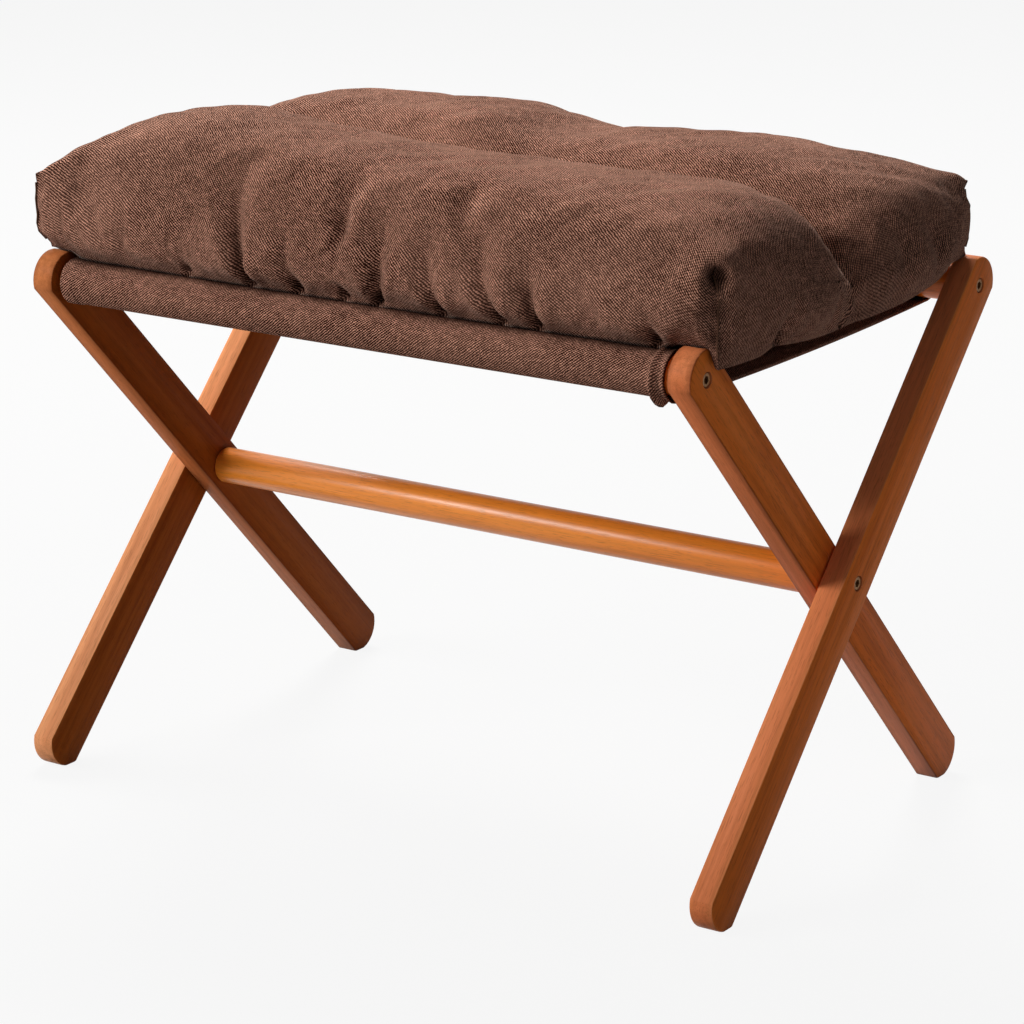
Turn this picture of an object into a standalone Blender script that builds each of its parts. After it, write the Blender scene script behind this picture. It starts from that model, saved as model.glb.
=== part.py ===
"""Folding stool: two crossed leg frames on a pivot axis, a cloth sling round two rails and a two-lobed cushion.

Metres, +Z up. X runs along the rails, the front of the stool faces -Y and the floor is z = 0.
"""
import math

import bmesh
import bpy

# Legs: flat bars whose ends are arcs about the rail axis, a little wider than the bar
LEG_THICKNESS = 0.018
LEG_WIDTH = 0.036
LEG_END_RADIUS = 0.0205
LEG_EDGE_ROUND = 0.0012
LEG_ANGLE = math.radians(46.5)
PIVOT_TO_RAIL = 0.243
FOOT_FLAT_DEPTH = 0.0005
INNER_SPAN = 0.516

# Clear space kept between pieces that touch
CLEARANCE = 0.0003

# Rails and stretcher
DOWEL_DIAMETER = 0.027
DOWEL_END_ROUND = 0.002

# Socket-head bolts, threaded inserts and pivot washers
SHANK_DIAMETER = 0.006
HEAD_DIAMETER = 0.010
HEAD_HEIGHT = 0.005
HEAD_CHAMFER = 0.0006
HEAD_RECESS = 0.0008
SOCKET_ACROSS_FLATS = 0.005
SOCKET_DEPTH = 0.003
SHANK_ENGAGEMENT = 0.014
INSERT_DIAMETER = 0.010
INSERT_LENGTH = 0.016
INSERT_BARBS = 3
INSERT_BARB_HEIGHT = 0.0005
WASHER_DIAMETER = 0.016
WASHER_THICKNESS = 0.001

# Sling: a cloth loop round both rails, dipping under the cushion
SLING_END_GAP = 0.0045
SLING_THICKNESS = 0.0022
SLING_TOP_DIP = math.radians(12.0)
SLING_BOTTOM_DIP = math.radians(2.0)

# Cushion: two lobes with rolled edges, a sewn channel between them and upright seams at the corners
CUSHION_END_OVERHANG = 0.009
CUSHION_FRONT_OVERHANG = 0.0007
CORNER_SEAM_HEIGHT = 0.053
RIM_HEIGHT = 0.028
CROWN_HEIGHT = 0.090
CROWN_LEFT_RISE = 0.011
CROWN_REAR_DROP = 0.006
LEFT_END_ROLL = 0.130
RIGHT_END_ROLL = 0.075
FRONT_ROLL = 0.090
ROLL_POWER = 2.2
CHANNEL_DEPTH = 0.056
CHANNEL_WIDTH = 0.034
END_BULGE = 0.012
FRONT_BULGE = 0.008
SIDE_BULGE = 0.010
UNDER_BULGE_SHARE = 0.4
CORNER_LIFT_INSET = 0.018
CORNER_LIFT_RUN = 0.035
CORNER_LIFT_DEPTH = 0.050
CORNER_LIFT_BLEND = 0.020
END_LIFT = 0.010
END_LIFT_RUN = 0.050

# Facets
ROUND_STEPS = 32
FASTENER_STEPS = 24
LEG_ARC_STEPS = 14
SLING_RAIL_STEPS = 14
SLING_PANEL_STEPS = 20
CUSHION_STEPS_X = 24
CUSHION_STEPS_Y = 18
CUSHION_SIDE_STEPS = 4

# Finishes: colour, roughness, metallic
WOOD = ((0.36, 0.12, 0.035), 0.38, 0.0)
STEEL = ((0.23, 0.19, 0.15), 0.35, 1.0)
BRASS = ((0.62, 0.44, 0.20), 0.35, 1.0)
NYLON = ((0.80, 0.78, 0.72), 0.50, 0.0)
SLING_CLOTH = ((0.16, 0.080, 0.055), 0.95, 0.0)
CUSHION_CLOTH = ((0.20, 0.11, 0.080), 0.95, 0.0)

# Sizes that follow from the ones above
LEG_GAP = WASHER_THICKNESS + 2 * CLEARANCE
INNER_LEG_X = INNER_SPAN / 2 + LEG_THICKNESS / 2
OUTER_LEG_X = INNER_LEG_X + LEG_THICKNESS + LEG_GAP
LEG_TILT = math.pi / 2 - LEG_ANGLE
RAIL_Y = PIVOT_TO_RAIL * math.cos(LEG_ANGLE)
RAIL_RISE = PIVOT_TO_RAIL * math.sin(LEG_ANGLE)
PIVOT_Z = RAIL_RISE + LEG_END_RADIUS - FOOT_FLAT_DEPTH
RAIL_Z = PIVOT_Z + RAIL_RISE
DOWEL_RADIUS = DOWEL_DIAMETER / 2
HOLE_RADIUS = SHANK_DIAMETER / 2 + CLEARANCE
COUNTERBORE_RADIUS = HEAD_DIAMETER / 2 + 2 * CLEARANCE
COUNTERBORE_DEPTH = HEAD_RECESS + HEAD_HEIGHT + CLEARANCE
INSERT_BORE_RADIUS = INSERT_DIAMETER / 2 + CLEARANCE
INSERT_BORE_DEPTH = INSERT_LENGTH + 2 * CLEARANCE
SLEEVE_RADIUS = DOWEL_RADIUS + CLEARANCE + SLING_THICKNESS
SLING_WIDTH = INNER_SPAN - 2 * SLING_END_GAP
CUSHION_LENGTH = INNER_SPAN + 2 * (LEG_THICKNESS + CUSHION_END_OVERHANG)
CUSHION_DEPTH = 2 * (RAIL_Y + CUSHION_FRONT_OVERHANG)
CUSHION_BASE_Z = RAIL_Z + LEG_END_RADIUS + CLEARANCE
CORNER_LIFT_END = INNER_SPAN / 2 - CORNER_LIFT_INSET
CORNER_LIFT_START = CORNER_LIFT_END - CORNER_LIFT_RUN
LEFT = -1
RIGHT = 1


def make_material(name, finish):
    colour, roughness, metallic = finish
    material = bpy.data.materials.new(name)
    material.use_nodes = True
    shader = material.node_tree.nodes["Principled BSDF"]
    shader.inputs["Base Color"].default_value = (*colour, 1.0)
    shader.inputs["Roughness"].default_value = roughness
    shader.inputs["Metallic"].default_value = metallic
    return material


def add_object(name, bm, finish, parent=None, smooth_angle=math.radians(35)):
    """Close a bmesh into a named object with outward faces and its own material."""
    bmesh.ops.remove_doubles(bm, verts=bm.verts, dist=1e-6)
    bmesh.ops.recalc_face_normals(bm, faces=bm.faces)
    mesh = bpy.data.meshes.new(name)
    bm.to_mesh(mesh)
    bm.free()
    mesh.shade_smooth()
    mesh.set_sharp_from_angle(angle=smooth_angle)
    obj = bpy.data.objects.new(name, mesh)
    bpy.context.scene.collection.objects.link(obj)
    obj.parent = parent
    if finish is not None:
        mesh.materials.append(make_material(name + "_finish", finish))
    return obj


def add_frame(name, tilt):
    """An empty on the pivot axis whose Z runs up the legs of one frame."""
    frame = bpy.data.objects.new(name, None)
    frame.location = (0, 0, PIVOT_Z)
    frame.rotation_euler = (tilt, 0, 0)
    bpy.context.scene.collection.objects.link(frame)
    return frame


def revolve(outline, closed, steps):
    """Turn an outline of (along X, radius) points about the X axis."""
    bm = bmesh.new()
    verts = [bm.verts.new((along, radius, 0)) for along, radius in outline]
    edges = [bm.edges.new(pair) for pair in zip(verts, verts[1:])]
    if closed:
        edges.append(bm.edges.new((verts[-1], verts[0])))
    bmesh.ops.spin(
        bm, geom=verts + edges, cent=(0, 0, 0), axis=(1, 0, 0), angle=2 * math.pi, steps=steps, use_merge=True
    )
    return bm


def extrude_along_x(loops, length):
    """Fill closed (y, z) loops, the later ones as holes, and extrude them to a solid centred on x = 0."""
    bm = bmesh.new()
    edges = []
    for loop in loops:
        verts = [bm.verts.new((-length / 2, y, z)) for y, z in loop]
        edges += [bm.edges.new(pair) for pair in zip(verts, verts[1:] + verts[:1])]
    if len(loops) == 1:
        bm.faces.new(verts)
    else:
        bmesh.ops.triangle_fill(bm, edges=edges, use_beauty=True)
    grown = bmesh.ops.extrude_face_region(bm, geom=bm.faces[:])
    moved = [item for item in grown["geom"] if isinstance(item, bmesh.types.BMVert)]
    bmesh.ops.translate(bm, verts=moved, vec=(length, 0, 0))
    return bm


def add_cutter(name, bm, target, parent):
    """A hidden solid that a Boolean modifier takes away from target."""
    cutter = add_object(name, bm, None, parent)
    cutter.hide_render = True
    cutter.display_type = "WIRE"
    cut = target.modifiers.new(name, "BOOLEAN")
    cut.operation = "DIFFERENCE"
    cut.solver = "EXACT"
    cut.object = cutter
    return cutter


def leg_outline(foot_side):
    """Bar outline in (across, along): arcs at both ends, and a small flat where the foot meets the floor."""
    half_arc = math.asin(LEG_WIDTH / 2 / LEG_END_RADIUS)
    flat_half = math.acos(1 - FOOT_FLAT_DEPTH / LEG_END_RADIUS)
    outline = []
    for step in range(LEG_ARC_STEPS + 1):
        angle = -half_arc + 2 * half_arc * step / LEG_ARC_STEPS
        outline.append((LEG_END_RADIUS * math.sin(angle), PIVOT_TO_RAIL + LEG_END_RADIUS * math.cos(angle)))
    to_floor = foot_side * LEG_TILT
    angles = [half_arc - 2 * half_arc * step / LEG_ARC_STEPS for step in range(LEG_ARC_STEPS + 1)]
    angles = [angle for angle in angles if abs(angle - to_floor) > flat_half]
    angles += [to_floor - flat_half, to_floor + flat_half]
    for angle in sorted(angles, reverse=True):
        outline.append((LEG_END_RADIUS * math.sin(angle), -PIVOT_TO_RAIL - LEG_END_RADIUS * math.cos(angle)))
    return outline


def bolt_hole(side, counterbored):
    """Cutter for a bolt: a through hole, and a counterbore from the leg's outer face."""
    outer = LEG_THICKNESS / 2
    past = LEG_THICKNESS
    if counterbored:
        floor = outer - COUNTERBORE_DEPTH
        outline = [
            (-past, 0),
            (-past, HOLE_RADIUS),
            (floor, HOLE_RADIUS),
            (floor, COUNTERBORE_RADIUS),
            (past, COUNTERBORE_RADIUS),
            (past, 0),
        ]
    else:
        outline = [(-past, 0), (-past, HOLE_RADIUS), (past, HOLE_RADIUS), (past, 0)]
    return revolve([(side * along, radius) for along, radius in outline], False, FASTENER_STEPS)


def add_leg(name, frame, x, side, foot_side, pivot_counterbored):
    leg = add_object(name, extrude_along_x([leg_outline(foot_side)], LEG_THICKNESS), WOOD, frame)
    leg.location = (x, 0, 0)
    ease = leg.modifiers.new("eased_edges", "BEVEL")
    ease.width = LEG_EDGE_ROUND
    ease.segments = 2
    ease.limit_method = "ANGLE"
    ease.angle_limit = math.radians(60)
    rail_cut = add_cutter(name + "_rail_hole", bolt_hole(side, True), leg, frame)
    rail_cut.location = (x, 0, PIVOT_TO_RAIL)
    pivot_cut = add_cutter(name + "_pivot_hole", bolt_hole(side, pivot_counterbored), leg, frame)
    pivot_cut.location = (x, 0, 0)
    return leg


def add_dowel(name, frame, along, length):
    """A turned dowel with eased ends and a bore in each end for its threaded insert."""
    half = length / 2
    shoulder = DOWEL_RADIUS - DOWEL_END_ROUND
    ease = DOWEL_END_ROUND * (1 - math.sqrt(0.5))
    right_end = [
        (half - DOWEL_END_ROUND, DOWEL_RADIUS),
        (half - ease, DOWEL_RADIUS - ease),
        (half, shoulder),
        (half, INSERT_BORE_RADIUS),
        (half - INSERT_BORE_DEPTH, INSERT_BORE_RADIUS),
        (half - INSERT_BORE_DEPTH, 0),
    ]
    left_end = [(-x, radius) for x, radius in reversed(right_end)]
    dowel = add_object(name, revolve(left_end + right_end, False, ROUND_STEPS), WOOD, frame)
    dowel.location = (0, 0, along)
    return dowel


def add_bolt(name, frame, along, side, outer_face, dowel_end):
    """A socket-head bolt whose head lies just under the leg's outer face and whose shank ends in the dowel."""
    head_top = outer_face - HEAD_RECESS
    head_base = head_top - HEAD_HEIGHT
    tip = dowel_end - SHANK_ENGAGEMENT
    shank = SHANK_DIAMETER / 2
    head = HEAD_DIAMETER / 2
    outline = [
        (tip, 0),
        (tip, shank - HEAD_CHAMFER),
        (tip + HEAD_CHAMFER, shank),
        (head_base, shank),
        (head_base, head),
        (head_top - HEAD_CHAMFER, head),
        (head_top, head - HEAD_CHAMFER),
        (head_top, 0),
    ]
    turned = revolve([(side * x, radius) for x, radius in outline], False, FASTENER_STEPS)
    bolt = add_object(name, turned, STEEL, frame)
    bolt.location = (0, 0, along)
    socket_radius = SOCKET_ACROSS_FLATS / math.sqrt(3)
    hexagon = [
        (socket_radius * math.cos(corner * math.pi / 3), socket_radius * math.sin(corner * math.pi / 3))
        for corner in range(6)
    ]
    socket = add_cutter(name + "_socket", extrude_along_x([hexagon], 2 * SOCKET_DEPTH), bolt, frame)
    socket.location = (side * head_top, 0, along)
    return bolt


def add_insert(name, frame, along, side, dowel_end):
    """A barbed threaded insert pressed into a dowel's end."""
    mouth = dowel_end - CLEARANCE
    pitch = INSERT_LENGTH / INSERT_BARBS
    crest = INSERT_DIAMETER / 2
    outline = []
    for barb in range(INSERT_BARBS):
        outline.append((mouth - barb * pitch, crest))
        outline.append((mouth - (barb + 0.4) * pitch, crest))
        outline.append((mouth - (barb + 1) * pitch, crest - INSERT_BARB_HEIGHT))
    outline += [(mouth - INSERT_LENGTH, HOLE_RADIUS), (mouth, HOLE_RADIUS)]
    insert = add_object(
        name, revolve([(side * x, radius) for x, radius in outline], True, FASTENER_STEPS), BRASS, frame
    )
    insert.location = (0, 0, along)
    return insert


def add_washer(name, frame, side):
    start = INNER_SPAN / 2 + LEG_THICKNESS + CLEARANCE
    outer = WASHER_DIAMETER / 2
    outline = [
        (start, HOLE_RADIUS),
        (start, outer),
        (start + WASHER_THICKNESS, outer),
        (start + WASHER_THICKNESS, HOLE_RADIUS),
    ]
    turned = revolve([(side * x, radius) for x, radius in outline], True, FASTENER_STEPS)
    return add_object(name, turned, NYLON, frame)


def dip_curve(radius, dip):
    """Where cloth leaves a rail of this radius at the dip angle, and the bend of its parabola."""
    touch_y = RAIL_Y - radius * math.sin(dip)
    bend = math.tan(dip) / (2 * touch_y)
    return touch_y, bend


def seat_height(y, radius):
    """Height of the sling's upper layer, measured on a surface this far from the rail axes."""
    touch_y, bend = dip_curve(radius, SLING_TOP_DIP)
    touch_z = RAIL_Z + radius * math.cos(SLING_TOP_DIP)
    if abs(y) <= touch_y:
        return touch_z + bend * (y * y - touch_y * touch_y)
    return RAIL_Z + math.sqrt(radius * radius - (RAIL_Y - abs(y)) ** 2)


def sling_loop(radius):
    """Closed (y, z) loop round both rails with a dip in its upper and lower runs."""
    upper_y, _ = dip_curve(radius, SLING_TOP_DIP)
    lower_y, lower_bend = dip_curve(radius, SLING_BOTTOM_DIP)
    lower_z = RAIL_Z - radius * math.cos(SLING_BOTTOM_DIP)
    loop = []
    for step in range(SLING_PANEL_STEPS + 1):
        y = upper_y - 2 * upper_y * step / SLING_PANEL_STEPS
        loop.append((y, seat_height(y, radius)))
    start = math.pi / 2 - SLING_TOP_DIP
    turn = math.pi - SLING_BOTTOM_DIP + SLING_TOP_DIP
    front_turn = [start + turn * step / SLING_RAIL_STEPS for step in range(1, SLING_RAIL_STEPS)]
    for angle in front_turn:
        loop.append((-RAIL_Y + radius * math.cos(angle), RAIL_Z + radius * math.sin(angle)))
    for step in range(SLING_PANEL_STEPS + 1):
        y = -lower_y + 2 * lower_y * step / SLING_PANEL_STEPS
        loop.append((y, lower_z + lower_bend * (y * y - lower_y * lower_y)))
    for angle in reversed(front_turn):
        loop.append((RAIL_Y - radius * math.cos(angle), RAIL_Z + radius * math.sin(angle)))
    return loop


def smooth_step(low, high, value):
    share = min(max((value - low) / (high - low), 0.0), 1.0)
    return share * share * (3 - 2 * share)


def roll(distance, width):
    """Rounded rise from 0 at the rim of the cushion to 1 at this width inside it."""
    share = min(distance / width, 1.0)
    return (1 - (1 - share) ** ROLL_POWER) ** (1 / ROLL_POWER)


def cushion_plan(across, back, bulge):
    """Plan point of the cushion for across and back in -1..1, with lobed ends and a bowed front and rear."""
    end = bulge * END_BULGE * abs(math.sin(math.pi * back))
    bow = bulge * FRONT_BULGE * (1 - across * across)
    x = CUSHION_LENGTH / 2 * across + end * across**3
    y = CUSHION_DEPTH / 2 * back + bow * back**3
    return x, y


def cushion_underside(x, y):
    """Rests on the sling, rises over the leg ends at the corners and rounds up a little at both ends."""
    on_sling = seat_height(y, SLEEVE_RADIUS + CLEARANCE)
    inner = RAIL_Y - CORNER_LIFT_DEPTH
    share = smooth_step(CORNER_LIFT_START, CORNER_LIFT_END, abs(x))
    share *= smooth_step(inner, inner + CORNER_LIFT_BLEND, abs(y))
    end = END_LIFT * smooth_step(CUSHION_LENGTH / 2 - END_LIFT_RUN, CUSHION_LENGTH / 2, abs(x))
    return on_sling + share * max(CUSHION_BASE_Z - on_sling, 0.0) + (1 - share) * end


def cushion_top(across, back):
    """Two lobes with rolled edges and a sewn channel between them, falling to the upright corner seams."""
    y = CUSHION_DEPTH / 2 * back
    corner = across**4 * abs(back) ** 3
    rim = RIM_HEIGHT + (CORNER_SEAM_HEIGHT - RIM_HEIGHT) * corner
    crown = CROWN_HEIGHT + CROWN_LEFT_RISE * smooth_step(0.1, -0.7, across)
    crown -= CROWN_REAR_DROP * smooth_step(-CHANNEL_WIDTH, CHANNEL_WIDTH, y)
    end_roll = LEFT_END_ROLL if across < 0 else RIGHT_END_ROLL
    rise = roll(CUSHION_LENGTH / 2 * (1 - abs(across)), end_roll)
    rise *= roll(CUSHION_DEPTH / 2 * (1 - abs(back)), FRONT_ROLL)
    channel = CHANNEL_DEPTH * math.exp(-((y / CHANNEL_WIDTH) ** 2))
    return CUSHION_BASE_Z + rim + (crown - rim) * rise * (1 - channel / crown)


def add_cushion(name):
    """Top and underside grids, closest at the rims and the channel, joined by swollen side walls."""
    bm = bmesh.new()
    across = [math.sin(math.pi * (i / CUSHION_STEPS_X - 0.5)) for i in range(CUSHION_STEPS_X + 1)]
    lobe_steps = CUSHION_STEPS_Y // 2
    lobe = [(1 - math.cos(math.pi * j / lobe_steps)) / 2 for j in range(lobe_steps + 1)]
    back = [-t for t in reversed(lobe)] + lobe[1:]
    top = {}
    under = {}
    for i, s in enumerate(across):
        for j, t in enumerate(back):
            top[i, j] = bm.verts.new((*cushion_plan(s, t, 1.0), cushion_top(s, t)))
            x, y = cushion_plan(s, t, UNDER_BULGE_SHARE)
            under[i, j] = bm.verts.new((x, y, cushion_underside(x, y)))
    for i in range(CUSHION_STEPS_X):
        for j in range(CUSHION_STEPS_Y):
            ring = [(i, j), (i + 1, j), (i + 1, j + 1), (i, j + 1)]
            bm.faces.new([top[key] for key in ring])
            bm.faces.new([under[key] for key in reversed(ring)])
    rim = [(i, 0) for i in range(CUSHION_STEPS_X)]
    rim += [(CUSHION_STEPS_X, j) for j in range(CUSHION_STEPS_Y)]
    rim += [(i, CUSHION_STEPS_Y) for i in range(CUSHION_STEPS_X, 0, -1)]
    rim += [(0, j) for j in range(CUSHION_STEPS_Y, 0, -1)]
    columns = []
    for i, j in rim:
        low = under[i, j].co
        high = top[i, j].co
        out_x = across[i] * abs(math.sin(math.pi * back[j])) if i in (0, CUSHION_STEPS_X) else 0.0
        out_y = back[j] * (1 - across[i] ** 4) if j in (0, CUSHION_STEPS_Y) else 0.0
        column = [under[i, j]]
        for step in range(1, CUSHION_SIDE_STEPS):
            share = step / CUSHION_SIDE_STEPS
            reach = math.sin(math.pi / 2 * share)
            swell = SIDE_BULGE * math.sin(math.pi * share)
            x = low.x + (high.x - low.x) * reach + swell * out_x
            y = low.y + (high.y - low.y) * reach + swell * out_y
            column.append(bm.verts.new((x, y, low.z + (high.z - low.z) * share)))
        column.append(top[i, j])
        columns.append(column)
    for column, following in zip(columns, columns[1:] + columns[:1]):
        for step in range(CUSHION_SIDE_STEPS):
            bm.faces.new((column[step], following[step], following[step + 1], column[step + 1]))
    return add_object(name, bm, CUSHION_CLOTH, smooth_angle=math.radians(60))


def build():
    for obj in list(bpy.data.objects):
        bpy.data.objects.remove(obj, do_unlink=True)
    inner = add_frame("inner_frame", LEG_TILT)
    outer = add_frame("outer_frame", -LEG_TILT)
    inner_end = INNER_SPAN / 2 - CLEARANCE
    inner_face = INNER_LEG_X + LEG_THICKNESS / 2
    outer_face = OUTER_LEG_X + LEG_THICKNESS / 2
    outer_end = OUTER_LEG_X - LEG_THICKNESS / 2 - CLEARANCE

    add_dowel("front_rail", inner, PIVOT_TO_RAIL, 2 * inner_end)
    add_dowel("stretcher", inner, 0, 2 * inner_end)
    add_dowel("rear_rail", outer, PIVOT_TO_RAIL, 2 * outer_end)
    for side, word in ((LEFT, "left"), (RIGHT, "right")):
        add_leg("inner_leg_" + word, inner, side * INNER_LEG_X, side, -1, False)
        add_leg("outer_leg_" + word, outer, side * OUTER_LEG_X, side, 1, True)
        add_bolt("front_rail_bolt_" + word, inner, PIVOT_TO_RAIL, side, inner_face, inner_end)
        add_bolt("rear_rail_bolt_" + word, outer, PIVOT_TO_RAIL, side, outer_face, outer_end)
        add_bolt("pivot_bolt_" + word, inner, 0, side, outer_face, inner_end)
        add_insert("front_rail_insert_" + word, inner, PIVOT_TO_RAIL, side, inner_end)
        add_insert("rear_rail_insert_" + word, outer, PIVOT_TO_RAIL, side, outer_end)
        add_insert("stretcher_insert_" + word, inner, 0, side, inner_end)
        add_washer("pivot_washer_" + word, inner, side)
    loops = [sling_loop(SLEEVE_RADIUS), sling_loop(SLEEVE_RADIUS - SLING_THICKNESS)]
    add_object("sling", extrude_along_x(loops, SLING_WIDTH), SLING_CLOTH)
    add_cushion("cushion")


build()
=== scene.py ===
import math

import bpy
import numpy as np
from mathutils import Matrix, Vector


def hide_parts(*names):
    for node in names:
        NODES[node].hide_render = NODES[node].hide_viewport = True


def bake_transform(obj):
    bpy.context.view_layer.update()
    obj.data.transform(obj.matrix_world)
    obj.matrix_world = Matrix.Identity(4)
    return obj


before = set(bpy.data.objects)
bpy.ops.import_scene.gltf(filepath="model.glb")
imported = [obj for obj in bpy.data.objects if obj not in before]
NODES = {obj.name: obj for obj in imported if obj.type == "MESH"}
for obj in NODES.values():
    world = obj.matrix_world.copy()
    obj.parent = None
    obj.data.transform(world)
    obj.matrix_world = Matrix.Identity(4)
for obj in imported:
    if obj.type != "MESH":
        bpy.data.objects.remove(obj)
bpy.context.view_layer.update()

# Frame, as in the solids
PIVOT_Z = 0.196266
RAIL_Y = 0.167270
RAIL_Z = 0.372532
LEG_TILT = math.radians(43.5)
INNER_SPAN = 0.516
LEG_END_RADIUS = 0.0205
DOWEL_RADIUS = 0.0135
CLEARANCE = 0.0003

# Camera: yaw, pitch and roll, place, and focal length in pixels of the picture
CAMERA_ANGLES = (34.645, 16.374, -0.401)
CAMERA_PLACE = (1.46063, -2.10123, PIVOT_Z + 0.75522)
FOCAL_PIXELS = 3672.6
PICTURE_PIXELS = 1024
SENSOR_WIDTH = 36.0

# Studio: fill light, white of the backdrop, and the floor's paper, of which a share shows plain white
FILL_LEVEL = 0.12
BACKDROP_WHITE = (0.94, 0.945, 0.94, 1)
PAPER_GREY = (0.36, 0.36, 0.36, 1)
PAPER_GLOW = 0.90
FLOOR_REACH = 6
# Lamps: name, place, target, width and height, power, colour
LAMPS = (
    ("front", (-2.1, -2.5, 2.1), (0, 0, 0.30), (2.2, 0.5), 107, (1.0, 0.985, 0.965)),
    ("back", (-1.6, 1.7, 2.6), (0, 0, 0.45), (1.4, 1.0), 155, (1.0, 0.99, 0.98)),
    ("side", (2.7, -1.4, 1.3), (0, 0, 0.30), (1.2, 1.2), 2, (1.0, 1.0, 1.0)),
)

# Sling
SLING_WIDTH = 0.507
SLING_THICKNESS = 0.0022
SLING_TOP_DIP = math.radians(12.0)
SLING_BOTTOM_DIP = math.radians(2.0)
SLEEVE_RADIUS = DOWEL_RADIUS + CLEARANCE + SLING_THICKNESS
SLING_STEPS = 192
SLING_END_RUN = 0.027
SLING_END_STEPS = 19
SLING_MIDDLE_STEPS = 115
PATH_STEPS = 400
HEM_WIDTH = 0.012
HEM_RISE = 0.0007
HEM_EDGE = 0.002
STITCH_DEPTH = 0.0004
STITCH_WIDTH = 0.0012
STITCH_INSET = 0.001
# Ruffle at the right end of the front sleeve: height, then share, place and width of each wave
RUFFLE_HEIGHT = 0.0055
RUFFLE_WAVES = ((1.0, 0.0095, 0.0024), (0.3, 0.0, 0.0025), (-0.10, 0.0055, 0.0015))
RUFFLE_TOP_SHARE = 0.40
RUFFLE_FRONT = (-RAIL_Y + 0.010, -RAIL_Y - 0.002)

# Cushion
CUSHION_LENGTH = 0.570
CUSHION_DEPTH = 2 * (RAIL_Y + 0.0007)
CUSHION_BASE_Z = RAIL_Z + LEG_END_RADIUS + CLEARANCE
CORNER_SEAM_HEIGHT = 0.053
FRONT_RIM = 0.040
END_RIM = 0.026
CROWN_HEIGHT = 0.083
CROWN_LEFT_RISE = 0.010
CROWN_REAR_DROP = 0.007
LEFT_END_ROLL = 0.130
RIGHT_END_ROLL = 0.075
FRONT_ROLL = 0.085
FRONT_ROLL_POWER = 2.4
END_ROLL_POWER = 2.1
CHANNEL_DEPTH = 0.056
CHANNEL_WIDTH = 0.034
CHANNEL_END_DROP = 0.014
# Swells and dips along the crowns of the lobes: lobe, height, place along the cushion, width
CROWN_BUMPS = (
    ("front", 0.004, -0.17, 0.05),
    ("rear", -0.004, -0.25, 0.04),
    ("rear", -0.004, -0.17, 0.06),
    ("rear", 0.005, -0.06, 0.04),
    ("rear", -0.0045, 0.010, 0.042),
    ("rear", 0.003, 0.15, 0.05),
    ("rear", -0.004, 0.24, 0.05),
)
END_BULGE = 0.012
FRONT_BULGE = 0.006
SIDE_BULGE = 0.003
END_SIDE_BULGE = 0.008
UNDER_BULGE_SHARE = 0.5
LEG_LIFT_X = INNER_SPAN / 2 - 0.002
LEG_LIFT_RUN = 0.012
LEG_LIFT_DEPTH = 0.050
LEG_LIFT_BLEND = 0.020
END_LIFT = 0.006
END_LIFT_RUN = 0.050
CLOTH_STEP = 0.0042
PROFILE_STEPS = 4001
WALL_STEPS = 9
# Swelling of the cushion as cloth under pressure
PRESSURE = 4.0
SIM_FRAMES = 20
SWELL_CAP = 0.003
CLOTH_SLACK = -0.02

# Folds of each side: heights of start and end, places at start, halfway and end, depth, width
FRONT_FOLDS = (
    (0.0, 0.022, -0.147, -0.148, -0.149, 0.0035, 0.0080),
    (0.0, 0.125, -0.088, -0.106, -0.099, 0.0085, 0.0090),
    (0.0, 0.026, -0.048, -0.052, -0.055, 0.0065, 0.0075),
    (0.012, 0.070, -0.053, -0.057, -0.057, 0.0030, 0.0090),
    (0.0, 0.020, -0.008, -0.012, -0.015, 0.0065, 0.0070),
    (0.022, 0.120, -0.013, -0.014, -0.023, 0.0065, 0.0085),
    (0.0, 0.085, 0.018, 0.022, 0.020, 0.0070, 0.0085),
    (0.0, 0.070, 0.074, 0.061, 0.058, 0.0068, 0.0080),
    (0.0, 0.085, 0.122, 0.102, 0.101, 0.0072, 0.0085),
    (0.050, 0.130, 0.089, 0.077, 0.069, 0.0045, 0.0100),
    (0.0, 0.062, 0.150, 0.142, 0.140, 0.0072, 0.0080),
    (0.0, 0.032, 0.240, 0.236, 0.233, 0.0060, 0.0075),
    (0.024, 0.085, -0.246, -0.243, -0.236, 0.0026, 0.0110),
)
REAR_FOLDS = (
    (0.0, 0.040, -0.205, -0.197, -0.192, 0.0050, 0.0075),
    (0.0, 0.075, -0.120, -0.128, -0.124, 0.0062, 0.0085),
    (0.0, 0.030, -0.062, -0.060, -0.058, 0.0055, 0.0070),
    (0.0, 0.080, 0.010, 0.022, 0.026, 0.0062, 0.0085),
    (0.0, 0.040, 0.075, 0.070, 0.066, 0.0055, 0.0075),
    (0.0, 0.070, 0.150, 0.160, 0.162, 0.0062, 0.0080),
    (0.0, 0.030, 0.225, 0.219, 0.214, 0.0050, 0.0070),
)
RIGHT_FOLDS = (
    (0.0, 0.035, -0.105, -0.109, -0.112, 0.0030, 0.0080),
    (0.0, 0.085, -0.016, 0.004, -0.001, 0.0065, 0.0085),
    (0.010, 0.100, 0.050, 0.060, 0.040, 0.0042, 0.0110),
    (0.010, 0.080, 0.092, 0.096, 0.076, 0.0036, 0.0100),
)
LEFT_FOLDS = (
    (0.0, 0.060, -0.120, -0.114, -0.110, 0.0030, 0.0080),
    (0.0, 0.040, -0.060, -0.066, -0.070, 0.0028, 0.0070),
    (0.0, 0.070, 0.070, 0.077, 0.082, 0.0030, 0.0085),
    (0.0, 0.040, 0.125, 0.122, 0.120, 0.0028, 0.0070),
)
FOLDS = {"front": FRONT_FOLDS, "rear": REAR_FOLDS, "right": RIGHT_FOLDS, "left": LEFT_FOLDS}
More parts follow.
